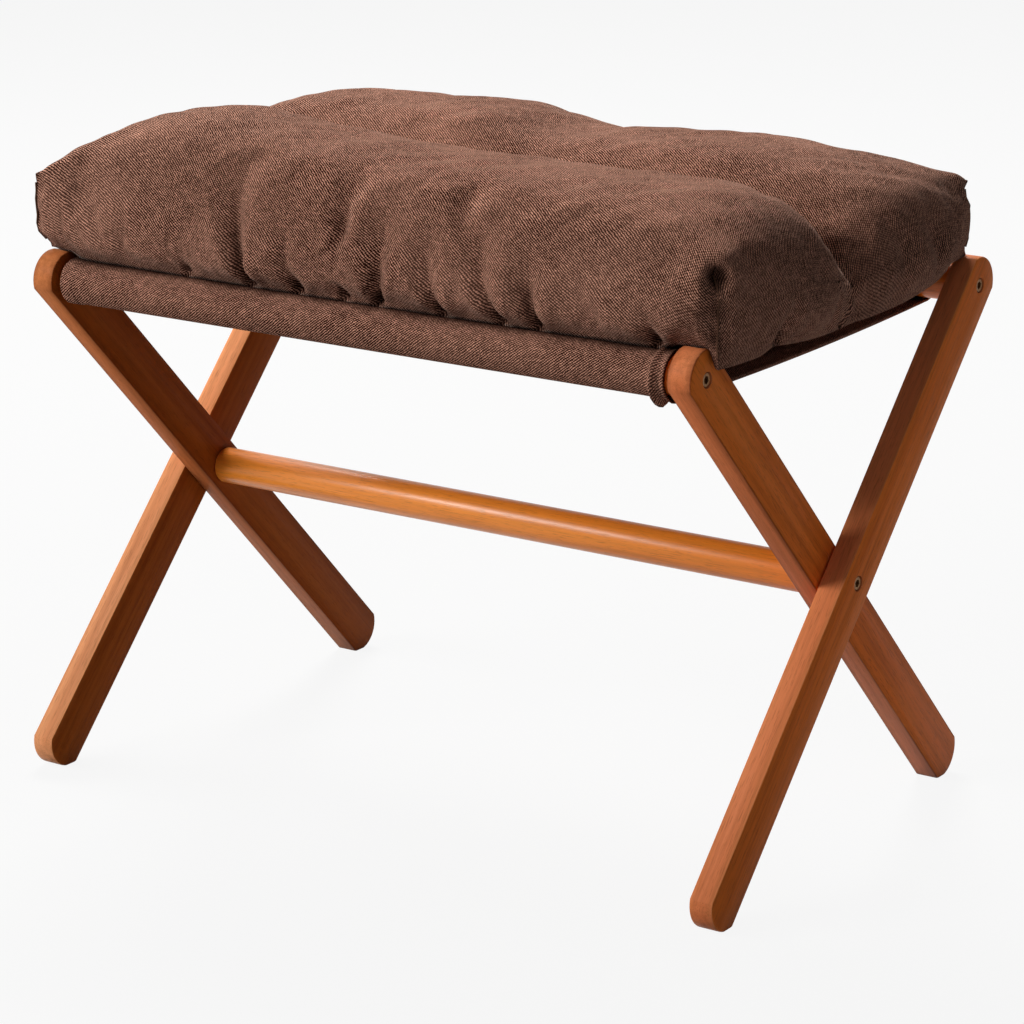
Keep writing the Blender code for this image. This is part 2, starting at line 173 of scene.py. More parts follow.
# Form of a crease and of the rolls beside it
CREASE_FOOT = 0.34
CREASE_SPREAD = 1.35
CREASE_FADE = 0.22
CREASE_RISE = 0.004
CREASE_POWER = 1.15
SOFT_CREASE_POWER = 1.5
SOFT_CREASE_OPENING = 0.35
ROLL_HEIGHT = 0.34
ROLL_PLACE = 2.1
ROLL_WIDTH = 1.2
ROLL_RISE = 0.012
# Roll of each side above its seam, and notches in it at the feet of the folds
FOOT_ROLLS = {"front": 0.0068, "rear": 0.0015, "right": 0.0015, "left": 0.0025}
FOOT_ROLL_HEIGHT = 0.017
FOOT_ROLL_FADE = (0.060, 0.024)
NOTCH_HEIGHT = 0.016
NOTCH_WIDTH = 0.0045
NOTCH_DEPTH = 0.0040
# Ripples of the front
RIPPLE_SEED = 5
RIPPLE_WAVES = 14
RIPPLE_LENGTHS = (0.022, 0.070)
RIPPLE_HEIGHT = 0.00016
RIPPLE_RISE = 0.02
# Corners: side in x and y, how far the seam is drawn in, how deep its head is tucked, how wavy it is
CORNERS = (
    (-1, -1, -0.0008, 0.0, 0.0004),
    (1, -1, 0.0040, 0.009, 0.0012),
    (1, 1, 0.0016, 0.002, 0.0010),
    (-1, 1, 0.0030, 0.006, 0.0012),
)
CORNER_PULL = (0.75, 0.66)
CORNER_REACH = (0.002, 0.014)
FOOT_ROUND = 0.009
FOOT_RISE = 0.020
SEAM_WIDTH = 0.007
SEAM_RADIUS = 0.0007
SEAM_STAND_OFF = 0.0004
SEAM_START = (-0.016, -0.004)
SEAM_END_RUN = 0.02
SEAM_WAVE = 0.0031
TUCK_WIDTH = 0.0075
TUCK_DROP = 0.006
TUCK_RING = 0.28
# Droop of the front right corner beyond the leg
DROOP_X = INNER_SPAN / 2 + 0.020
DROOP_RUN = 0.005
DROOP_DEPTH = 0.013
DROOP_BACK = (-RAIL_Y + 0.06, -RAIL_Y + 0.03)

# Cloth: pitch and wander of its threads, shares of check and twill, and slubs
WEFT_PITCH = 0.0025
WARP_PITCH = 0.0019
WANDER_SCALES = (260.0, 340.0)
WANDER = 6.0
CHECK_SHARE = 0.60
TWILL_SHARE = 0.55
SLUB_SCALES = ((110.0, 520.0, 1.0), (520.0, 110.0, 1.0))
SLUB_SHARE = 0.6
RAISED_THREADS = (-0.06, 0.72)
HEATHER_SHADE = 0.70
FADE_SCALE = 12.0
FADE_SHARE = 0.12
FUZZ_SCALE = 2600.0
FUZZ_SHARE = 0.30
# Painted shade: how far ambient occlusion looks for creases, seams and corners, and how dark the cloth is
# painted there
PAINTED_SHADE_REACH = 0.014
PAINTED_SHADE_SHARE = 0.6
SHEEN_TINT = (0.80, 0.62, 0.52, 1)
# Light thread, dark thread and sheen
CUSHION_CLOTH = ((0.80, 0.405, 0.286, 1), (0.016, 0.0030, 0.0010, 1), 0.26)
SLING_CLOTH = ((0.88, 0.440, 0.310, 1), (0.016, 0.0030, 0.0010, 1), 0.06)
SEAM_THREAD = (0.13, 0.062, 0.038)

# Metal and nylon
BOLT_METAL = (0.22, 0.110, 0.045)
BOLT_ROUGHNESS = 0.50
BRASS = (0.62, 0.44, 0.20)
BRASS_ROUGHNESS = 0.40
NYLON_TONES = ((0.74, 0.72, 0.66, 1), (0.83, 0.81, 0.76, 1))

# Grain of the wood: scale of each layer, stretch along the board, share and shade
GRAIN_SHIFT = (0.37, 0.71, 0.13)
GRAIN_STRETCH = 0.035
PORE_STRETCH = 0.07
FIGURE_SCALE = 34.0
STREAK_SCALE = 230.0
STREAK_SHARE = 0.50
STREAK_SHADE = 0.55
PORE_SCALE = 1400.0
PORE_SHARE = 0.34
PORE_SHADE = 0.28
CLOUD_SCALE = 9.0
CLOUD_SHARE = 0.22
GRAIN_DEPTH = 0.0004
# Gloss, roughness and relief
LEG_FINISH = (0.02, 0.36, 0.18)
DOWEL_FINISH = (0.50, 0.32, 0.10)
# Stains: a deep and a warm tone; the left legs take a darker copy as painted shade and the right legs a
# paler one as painted light
SHADED_LEFT_LEG_TONES = ((0.30, 0.060, 0.007), (0.42, 0.108, 0.015))
LIT_RIGHT_LEG_TONES = ((0.74, 0.150, 0.020), (0.93, 0.240, 0.038))
DOWEL_TONES = ((0.86, 0.225, 0.020), (1.00, 0.320, 0.036))
# How much paler than its broad faces a leg is painted on its narrow faces and ends, as painted light and
# painted highlight
NARROW_FACE_LIGHT_TINTS = {
    "inner_leg_left": (1.75, 2.60, 7.00, 1),
    "inner_leg_right": (0.88, 1.12, 2.80, 1),
    "outer_leg_left": (2.20, 4.00, 14.0, 1),
    "outer_leg_right": (0.90, 1.15, 2.90, 1),
}
# Arrises of the legs: colour and share; a dark line on the inner legs, and a painted highlight on the outer
# legs
DARK_ARRIS = ((0.12, 0.022, 0.004), 0.75)
ARRIS_HIGHLIGHT = ((0.86, 0.330, 0.110), 0.40)
# Shading of the solids
WELD_DISTANCE = 1e-5
CRISP_ANGLE = math.radians(32)


def camera():
    yaw, pitch, bank = (math.radians(angle) for angle in CAMERA_ANGLES)
    ahead = Vector((-math.sin(yaw) * math.cos(pitch), math.cos(yaw) * math.cos(pitch), -math.sin(pitch)))
    level = ahead.cross(Vector((0, 0, 1))).normalized()
    above = level.cross(ahead)
    right = level * math.cos(bank) + above * math.sin(bank)
    up = above * math.cos(bank) - level * math.sin(bank)
    data = bpy.data.cameras.new("camera")
    data.sensor_width = SENSOR_WIDTH
    data.lens = FOCAL_PIXELS / PICTURE_PIXELS * SENSOR_WIDTH
    data.clip_end = 100.0
    cam = bpy.data.objects.new("camera", data)
    place = Matrix.Identity(4)
    for row in range(3):
        place[row][0], place[row][1], place[row][2] = right[row], up[row], -ahead[row]
    place.translation = Vector(CAMERA_PLACE)
    cam.matrix_world = place
    bpy.context.scene.collection.objects.link(cam)
    bpy.context.scene.camera = cam


def area_light(name, place, target, size, power, colour):
    data = bpy.data.lights.new(name, "AREA")
    data.shape = "RECTANGLE"
    data.size, data.size_y = size
    data.energy = power
    data.color = colour
    lamp = bpy.data.objects.new(name, data)
    lamp.location = place
    lamp.rotation_euler = (Vector(target) - Vector(place)).to_track_quat("-Z", "Y").to_euler()
    bpy.context.scene.collection.objects.link(lamp)


def background_share(tree):
    """1 for rays that should see a plain white backdrop."""
    path = tree.nodes.new("ShaderNodeLightPath")
    first = tree.nodes.new("ShaderNodeMath")
    first.operation = "MAXIMUM"
    second = tree.nodes.new("ShaderNodeMath")
    second.operation = "MAXIMUM"
    tree.links.new(path.outputs["Is Camera Ray"], first.inputs[0])
    tree.links.new(path.outputs["Is Glossy Ray"], first.inputs[1])
    tree.links.new(first.outputs[0], second.inputs[0])
    tree.links.new(path.outputs["Is Transmission Ray"], second.inputs[1])
    return second.outputs[0]


def studio():
    world = bpy.data.worlds.new("studio")
    world.use_nodes = True
    tree = world.node_tree
    tree.nodes.clear()
    out = tree.nodes.new("ShaderNodeOutputWorld")
    fill = tree.nodes.new("ShaderNodeBackground")
    fill.inputs["Color"].default_value = (1, 1, 1, 1)
    fill.inputs["Strength"].default_value = FILL_LEVEL
    white = tree.nodes.new("ShaderNodeBackground")
    white.inputs["Color"].default_value = BACKDROP_WHITE
    white.inputs["Strength"].default_value = 1.0
    mix = tree.nodes.new("ShaderNodeMixShader")
    tree.links.new(background_share(tree), mix.inputs[0])
    tree.links.new(fill.outputs[0], mix.inputs[1])
    tree.links.new(white.outputs[0], mix.inputs[2])
    tree.links.new(mix.outputs[0], out.inputs[0])
    bpy.context.scene.world = world
    bpy.context.scene.view_settings.view_transform = "Standard"
    for lamp in LAMPS:
        area_light(*lamp)
    make_floor()


def make_floor():
    mesh = bpy.data.meshes.new("floor")
    places = [(x * FLOOR_REACH, y * FLOOR_REACH, 0) for x, y in ((-1, -1), (1, -1), (1, 1), (-1, 1))]
    mesh.from_pydata(places, [], [(0, 1, 2, 3)])
    floor = bpy.data.objects.new("floor", mesh)
    bpy.context.scene.collection.objects.link(floor)
    material = bpy.data.materials.new("floor")
    material.use_nodes = True
    tree = material.node_tree
    tree.nodes.clear()
    out = tree.nodes.new("ShaderNodeOutputMaterial")
    paper = tree.nodes.new("ShaderNodeBsdfDiffuse")
    paper.inputs["Color"].default_value = PAPER_GREY
    glow = tree.nodes.new("ShaderNodeEmission")
    glow.inputs["Color"].default_value = (1.0, 1.0, 1.0, 1)
    glow.inputs["Strength"].default_value = 1.0
    share = tree.nodes.new("ShaderNodeMath")
    share.operation = "MULTIPLY"
    share.inputs[1].default_value = PAPER_GLOW
    mix = tree.nodes.new("ShaderNodeMixShader")
    tree.links.new(background_share(tree), share.inputs[0])
    tree.links.new(share.outputs[0], mix.inputs[0])
    tree.links.new(paper.outputs[0], mix.inputs[1])
    tree.links.new(glow.outputs[0], mix.inputs[2])
    tree.links.new(mix.outputs[0], out.inputs[0])
    mesh.materials.append(material)


class Graph:
    """A small helper that writes a Principled material node by node."""

    def __init__(self, name):
        self.material = bpy.data.materials.new(name)
        self.material.use_nodes = True
        self.tree = self.material.node_tree
        self.shader = self.tree.nodes["Principled BSDF"]

    def add(self, kind, **settings):
        node = self.tree.nodes.new("ShaderNode" + kind)
        for key, value in settings.items():
            setattr(node, key, value)
        return node

    def set(self, socket, value):
        if isinstance(value, bpy.types.NodeSocket):
            self.tree.links.new(value, socket)
        else:
            socket.default_value = value

    def math(self, operation, a, b=0.0):
        node = self.add("Math", operation=operation)
        self.set(node.inputs[0], a)
        self.set(node.inputs[1], b)
        return node.outputs[0]

    def mix(self, share, a, b, blend="MIX"):
        node = self.add("Mix", data_type="RGBA", blend_type=blend)
        self.set(node.inputs[0], share)
        self.set(node.inputs[6], a)
        self.set(node.inputs[7], b)
        return node.outputs[2]

    def ramp(self, value, low, high):
        node = self.add("MapRange", clamp=True)
        self.set(node.inputs[0], value)
        node.inputs[1].default_value = low
        node.inputs[2].default_value = high
        return node.outputs[0]

    def scaled(self, vector, scale):
        node = self.add("Mapping", vector_type="POINT")
        node.inputs["Scale"].default_value = scale
        self.set(node.inputs["Vector"], vector)
        return node.outputs[0]

    def noise(self, vector, scale, detail=2.0, rough=0.5, distortion=0.0):
        node = self.add("TexNoise")
        self.set(node.inputs["Vector"], vector)
        node.inputs["Scale"].default_value = scale
        node.inputs["Detail"].default_value = detail
        node.inputs["Roughness"].default_value = rough
        node.inputs["Distortion"].default_value = distortion
        return node.outputs["Fac"]

    def bump(self, height, strength, distance):
        node = self.add("Bump")
        node.inputs["Strength"].default_value = strength
        node.inputs["Distance"].default_value = distance
        self.set(node.inputs["Height"], height)
        return node.outputs[0]

    def surface(self, **values):
        for key, value in values.items():
            self.set(self.shader.inputs[key.replace("_", " ")], value)
        return self.material


def shaded(colour, share):
    """Darker tone of a colour, as an opaque one."""
    return (*(share * part for part in colour[:3]), 1)


def wood(name, turn, seed, finish, tones, arris=None, narrow_light_tint=None):
    """Stained wood between two tones, whose grain runs along local Z after the turn.

    A board, which has arrises, is painted paler on its narrow faces and ends than on its broad faces,
    which face along X, as painted light; along its arrises it takes a dark line, or on the outer legs a
    painted highlight.
    """
    g = Graph(name)
    where = g.add("TexCoord")
    align = g.add("Mapping", vector_type="POINT")
    align.inputs["Location"].default_value = tuple(seed * shift for shift in GRAIN_SHIFT)
    align.inputs["Rotation"].default_value = turn
    g.set(align.inputs["Vector"], where.outputs["Object"])
    board = align.outputs[0]
    stretched = g.scaled(board, (1.0, 1.0, GRAIN_STRETCH))
    dashes = g.scaled(board, (1.0, 1.0, PORE_STRETCH))
    figure = g.noise(stretched, FIGURE_SCALE, 3.0, 0.55, 0.4)
    streak = g.noise(stretched, STREAK_SCALE, 4.0, 0.62)
    pore = g.ramp(g.noise(dashes, PORE_SCALE, 2.0, 0.5), 0.56, 0.68)
    cloud = g.noise(board, CLOUD_SCALE, 2.0, 0.5)
    gloss, rough, relief = finish
    deep, warm = tones
    tone = g.mix(g.ramp(figure, 0.30, 0.72), (*deep, 1), (*warm, 1))
    streaks = g.math("MULTIPLY", g.ramp(streak, 0.42, 0.70), STREAK_SHARE)
    tone = g.mix(streaks, tone, shaded(deep, STREAK_SHADE))
    tone = g.mix(g.math("MULTIPLY", pore, PORE_SHARE), tone, shaded(deep, PORE_SHADE))
    clouds = g.math("MULTIPLY", g.ramp(cloud, 0.35, 0.75), CLOUD_SHARE)
    tone = g.mix(clouds, tone, (*warm, 1))
    if arris is not None:
        facing = g.add("SeparateXYZ")
        g.set(facing.inputs[0], where.outputs["Normal"])
        across = g.math("ABSOLUTE", facing.outputs[0])
        # Painted light: narrow faces and ends, turned away from X, are tinted paler
        tone = g.mix(g.ramp(across, 0.90, 0.50), tone, narrow_light_tint, "MULTIPLY")
        corner = g.math("MULTIPLY", g.ramp(across, 0.10, 0.35), g.ramp(across, 0.985, 0.93))
        colour, share = arris
        # A line along the arrises, broken up by the grain: dark, or a painted highlight
        wear_and_edge_highlight = g.math("MULTIPLY", g.math("MULTIPLY", corner, g.ramp(streak, 0.20, 0.50)), share)
        tone = g.mix(wear_and_edge_highlight, tone, (*colour, 1))
    height = g.math("SUBTRACT", g.math("MULTIPLY", streak, 0.4), pore)
    return g.surface(
        Base_Color=tone,
        Roughness=g.math("ADD", g.math("MULTIPLY", streak, 0.14), rough - 0.07),
        Normal=g.bump(height, relief, GRAIN_DEPTH),
        Specular_IOR_Level=gloss,
    )


def metal(name, colour, roughness):
    g = Graph(name)
    place = g.add("TexCoord").outputs["Object"]
    fine = g.noise(place, 2400.0, 3.0)
    wear_and_edge_highlight = g.noise(place, 420.0, 3.0)
    tone = g.mix(g.ramp(wear_and_edge_highlight, 0.4, 0.7), (*colour, 1), shaded(colour, 0.55))
    return g.surface(
        Base_Color=tone,
        Metallic=1.0,
        Roughness=g.math("ADD", g.math("MULTIPLY", fine, 0.25), roughness - 0.12),
        Normal=g.bump(fine, 0.15, 0.0002),
    )


def nylon(name):
    g = Graph(name)
    place = g.add("TexCoord").outputs["Object"]
    grain = g.noise(place, 1800.0, 3.0)
    return g.surface(
        Base_Color=g.mix(g.ramp(grain, 0.35, 0.7), *NYLON_TONES),
        Roughness=g.math("ADD", g.math("MULTIPLY", grain, 0.2), 0.4),
        Normal=g.bump(grain, 0.12, 0.0002),
    )


def cloth(name, light, dark, sheen):
    """Fine twill of light and dark threads from the UV map, whose unit is the metre, with painted shade in
    its creases, seams and corners.
    """
    g = Graph(name)
    coords = g.add("UVMap").outputs[0]
    split = g.add("SeparateXYZ")
    g.set(split.inputs[0], coords)
    sway, shift = (g.math("MULTIPLY", g.noise(coords, scale, 3.0, 0.7), WANDER) for scale in WANDER_SCALES)
    across = g.math("ADD", g.math("MULTIPLY", split.outputs[0], 2 * math.pi / WEFT_PITCH), sway)
    along = g.math("ADD", g.math("MULTIPLY", split.outputs[1], 2 * math.pi / WARP_PITCH), shift)
    check = g.math("MULTIPLY", g.math("SINE", across), g.math("SINE", along))
    twill = g.math("SINE", g.math("ADD", across, along))
    weave = g.math("ADD", g.math("MULTIPLY", check, CHECK_SHARE), g.math("MULTIPLY", twill, TWILL_SHARE))
    slubs = (g.noise(g.scaled(coords, scale), 1.0, 2.0) for scale in SLUB_SCALES)
    threads = g.math("ADD", *slubs)
    uneven = g.math("MULTIPLY", g.math("SUBTRACT", threads, 1.0), SLUB_SHARE)
    lift = g.ramp(g.math("ADD", weave, uneven), *RAISED_THREADS)
    heather = g.ramp(threads, 0.70, 1.30)
    raised = g.mix(heather, shaded(light, HEATHER_SHADE), light)
    tone = g.mix(lift, dark, raised)
    faded = g.ramp(g.noise(coords, FADE_SCALE, 3.0), 0.40, 0.70)
    tone = g.mix(g.math("MULTIPLY", faded, FADE_SHARE), tone, light)
    # Painted shade: the cloth turns towards its dark thread where ambient occlusion finds creases, seams and
    # corners
    closed = g.add("AmbientOcclusion", samples=8)
    closed.inputs["Distance"].default_value = PAINTED_SHADE_REACH
    unshaded_share = g.ramp(closed.outputs["AO"], 0.25, 0.88)
    tone = g.mix(unshaded_share, shaded(dark, PAINTED_SHADE_SHARE), tone)
    fuzz = g.noise(coords, FUZZ_SCALE, 2.0)
    height = g.math("ADD", lift, g.math("MULTIPLY", fuzz, FUZZ_SHARE))
    return g.surface(
        Base_Color=tone,
        Roughness=0.95,
        Specular_IOR_Level=0.0,
        Sheen_Weight=sheen,
        Sheen_Roughness=0.26,
        Sheen_Tint=SHEEN_TINT,
        Normal=g.bump(height, 0.50, 0.0008),
    )


def thread(name, colour):
    g = Graph(name)
    place = g.add("TexCoord").outputs["Object"]
    ply = g.noise(place, 900.0, 3.0)
    tone = g.mix(g.ramp(ply, 0.35, 0.65), shaded(colour, 0.6), (*colour, 1))
    return g.surface(Base_Color=tone, Roughness=0.9, Specular_IOR_Level=0.1, Normal=g.bump(ply, 0.4, 0.0004))


def finish_node(name, material):
    obj = NODES[name]
    obj.data.materials.clear()
    obj.data.materials.append(material)
    for face in obj.data.polygons:
        face.use_smooth = True
    weld = obj.modifiers.new("weld", "WELD")
    weld.merge_threshold = WELD_DISTANCE
    split = obj.modifiers.new("split", "EDGE_SPLIT")
    split.split_angle = CRISP_ANGLE


def finish_frame():
    tilts = {"inner_leg": (-LEG_TILT, 0, 0), "outer_leg": (LEG_TILT, 0, 0)}
    along_x = (0, -math.pi / 2, 0)
    for seed, name in enumerate(sorted(NODES), 2):
        kind = name.rsplit("_", 1)[0]
        if kind in tilts:
            # Painted shade and light: the left legs take a darker copy of the stain, the right legs a paler
            # one
            tones = LIT_RIGHT_LEG_TONES if name.endswith("right") else SHADED_LEFT_LEG_TONES
            arris = DARK_ARRIS if kind == "inner_leg" else ARRIS_HIGHLIGHT
            narrow_light_tint = NARROW_FACE_LIGHT_TINTS[name]
            finish_node(name, wood(name + "_wood", tilts[kind], seed, LEG_FINISH, tones, arris, narrow_light_tint))
        elif name in ("front_rail", "rear_rail", "stretcher"):
            finish_node(name, wood(name + "_wood", along_x, seed, DOWEL_FINISH, DOWEL_TONES))
        elif "bolt" in name:
            finish_node(name, metal(name + "_metal", BOLT_METAL, BOLT_ROUGHNESS))
        elif "insert" in name:
            finish_node(name, metal(name + "_brass", BRASS, BRASS_ROUGHNESS))
        elif "washer" in name:
            finish_node(name, nylon(name + "_nylon"))


def smooth_step(low, high, value):
    share = np.clip((value - low) / (high - low), 0.0, 1.0)
    return share * share * (3 - 2 * share)


def bell(distance, width):
    return np.exp(-((distance / width) ** 2))


def roll(distance, width, power):
    """Rounded rise from 0 at the rim of the cushion to 1 at this width inside it."""
    share = np.minimum(distance / width, 1.0)
    return (1 - (1 - share) ** power) ** (1 / power)


def new_mesh(name, points, quads, cloth_map=None):
    mesh = bpy.data.meshes.new(name)
    mesh.from_pydata(points.tolist(), [], quads.tolist())
    if cloth_map is not None:
        mesh.uv_layers.new(name="weave").data.foreach_set("uv", cloth_map.ravel())
    mesh.shade_smooth()
    obj = bpy.data.objects.new(name, mesh)
    bpy.context.scene.collection.objects.link(obj)
    return obj


def vertex_places(mesh):
    places = np.empty(len(mesh.vertices) * 3)
    mesh.vertices.foreach_get("co", places)
    return places.reshape(-1, 3)


def loop_vertices(mesh):
    index = np.empty(len(mesh.loops), np.int32)
    mesh.loops.foreach_get("vertex_index", index)
    return index


def sharpen(mesh, chains):
    """Keeps chains of vertices as crisp edges when the mesh is subdivided."""
    pairs = {frozenset(pair) for chain in chains for pair in zip(chain[:-1], chain[1:])}
    crease = mesh.attributes.new("crease_edge", "FLOAT", "EDGE")
    crease.data.foreach_set("value", [float(frozenset(edge.vertices) in pairs) for edge in mesh.edges])


def subdivide(obj):
    """One level of subdivision, kept in the mesh."""
    obj.modifiers.new("finer", "SUBSURF")
    finer = bpy.data.meshes.new_from_object(obj.evaluated_get(bpy.context.evaluated_depsgraph_get()))
    obj.modifiers.clear()
    obj.data = finer


def tube(name, path, radius):
    """Thin round cord along a chain of points."""
    data = bpy.data.curves.new(name, "CURVE")
    data.dimensions = "3D"
    data.bevel_depth = radius
    data.bevel_resolution = 2
    data.use_fill_caps = True
    spline = data.splines.new("POLY")
    spline.points.add(len(path) - 1)
    for point, place in zip(spline.points, path):
        point.co = (*place, 1)
    guide = bpy.data.objects.new(name, data)
    bpy.context.scene.collection.objects.link(guide)
    mesh = bpy.data.meshes.new_from_object(guide.evaluated_get(bpy.context.evaluated_depsgraph_get()))
    bpy.data.objects.remove(guide, do_unlink=True)
    mesh.shade_smooth()
    obj = bpy.data.objects.new(name, mesh)
    bpy.context.scene.collection.objects.link(obj)
    return obj


def across_fold(obj):
    """Bakes the placement of cloth that goes from the front rail to the rear one into its mesh."""
    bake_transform(obj)


# Cushion: the solid's form on a finer grid
def cushion_plan(s, t, bulge):
    end = bulge * END_BULGE * np.abs(np.sin(np.pi * t))
    bow = bulge * FRONT_BULGE * (1 - s * s)
    return CUSHION_LENGTH / 2 * s + end * s**3, CUSHION_DEPTH / 2 * t + bow * t**3


def seat_height(y, radius):
    """Height of the sling's upper layer, on a surface this far from the rail axes."""
    touch_y = RAIL_Y - radius * math.sin(SLING_TOP_DIP)
    bend = math.tan(SLING_TOP_DIP) / (2 * touch_y)
    panel = RAIL_Z + radius * math.cos(SLING_TOP_DIP) + bend * (y * y - touch_y**2)
    arc = RAIL_Z + np.sqrt(np.maximum(radius**2 - (RAIL_Y - np.abs(y)) ** 2, 0.0))
    return np.where(np.abs(y) <= touch_y, panel, arc)


def cushion_underside(x, y):
    on_sling = seat_height(y, SLEEVE_RADIUS + CLEARANCE)
    over_leg = smooth_step(LEG_LIFT_X - LEG_LIFT_RUN, LEG_LIFT_X, np.abs(x))
    lift_y = RAIL_Y - LEG_LIFT_DEPTH
    over_leg = over_leg * smooth_step(lift_y, lift_y + LEG_LIFT_BLEND, np.abs(y))
    end = END_LIFT * smooth_step(CUSHION_LENGTH / 2 - END_LIFT_RUN, CUSHION_LENGTH / 2, np.abs(x))
    droop = DROOP_DEPTH * smooth_step(DROOP_X, DROOP_X + DROOP_RUN, x) * smooth_step(*DROOP_BACK, y)
    return on_sling + over_leg * np.maximum(CUSHION_BASE_Z - on_sling, 0.0) + (1 - over_leg) * end - droop


def cushion_top(s, t):
    x = CUSHION_LENGTH / 2 * s
    y = CUSHION_DEPTH / 2 * t
    end_rim = END_RIM + (CORNER_SEAM_HEIGHT - END_RIM) * np.abs(t) ** 3
    end_rim = end_rim - CHANNEL_END_DROP * bell(y, CHANNEL_WIDTH)
    rim = FRONT_RIM + (end_rim - FRONT_RIM) * s**4
    rear = smooth_step(-CHANNEL_WIDTH, CHANNEL_WIDTH, y)
    crown = CROWN_HEIGHT + CROWN_LEFT_RISE * smooth_step(0.1, -0.7, s) - CROWN_REAR_DROP * rear
    for lobe, height, place, width in CROWN_BUMPS:
        crown = crown + (rear if lobe == "rear" else 1 - rear) * height * bell(x - place, width)
    inside = CUSHION_LENGTH / 2 * (1 - np.abs(s))
    end_roll = np.where(s < 0, LEFT_END_ROLL, RIGHT_END_ROLL)
    rise = roll(inside, end_roll, END_ROLL_POWER)
    rise = rise * roll(CUSHION_DEPTH / 2 * (1 - np.abs(t)), FRONT_ROLL, FRONT_ROLL_POWER)
    channel = CHANNEL_DEPTH * bell(y, CHANNEL_WIDTH)
    return CUSHION_BASE_Z + rim + (crown - rim) * rise * (1 - channel / crown)


def even_steps(along, height, parameter):
    """Parameter values a mesh step apart along a profile."""
    arc = np.concatenate([[0.0], np.cumsum(np.hypot(np.diff(along), np.diff(height)))])
    count = int(round(arc[-1] / CLOTH_STEP))
    return np.interp(np.linspace(0, arc[-1], count + 1), arc, parameter)


def arcs(points, axis):
    """Arc length along one axis of a grid of points, from its middle."""
    step = np.linalg.norm(np.diff(points, axis=axis), axis=-1)
    start = np.zeros_like(np.take(step, [0], axis=axis))
    run = np.concatenate([start, np.cumsum(step, axis=axis)], axis=axis)
    return run - np.take(run, [run.shape[axis] // 2], axis=axis)


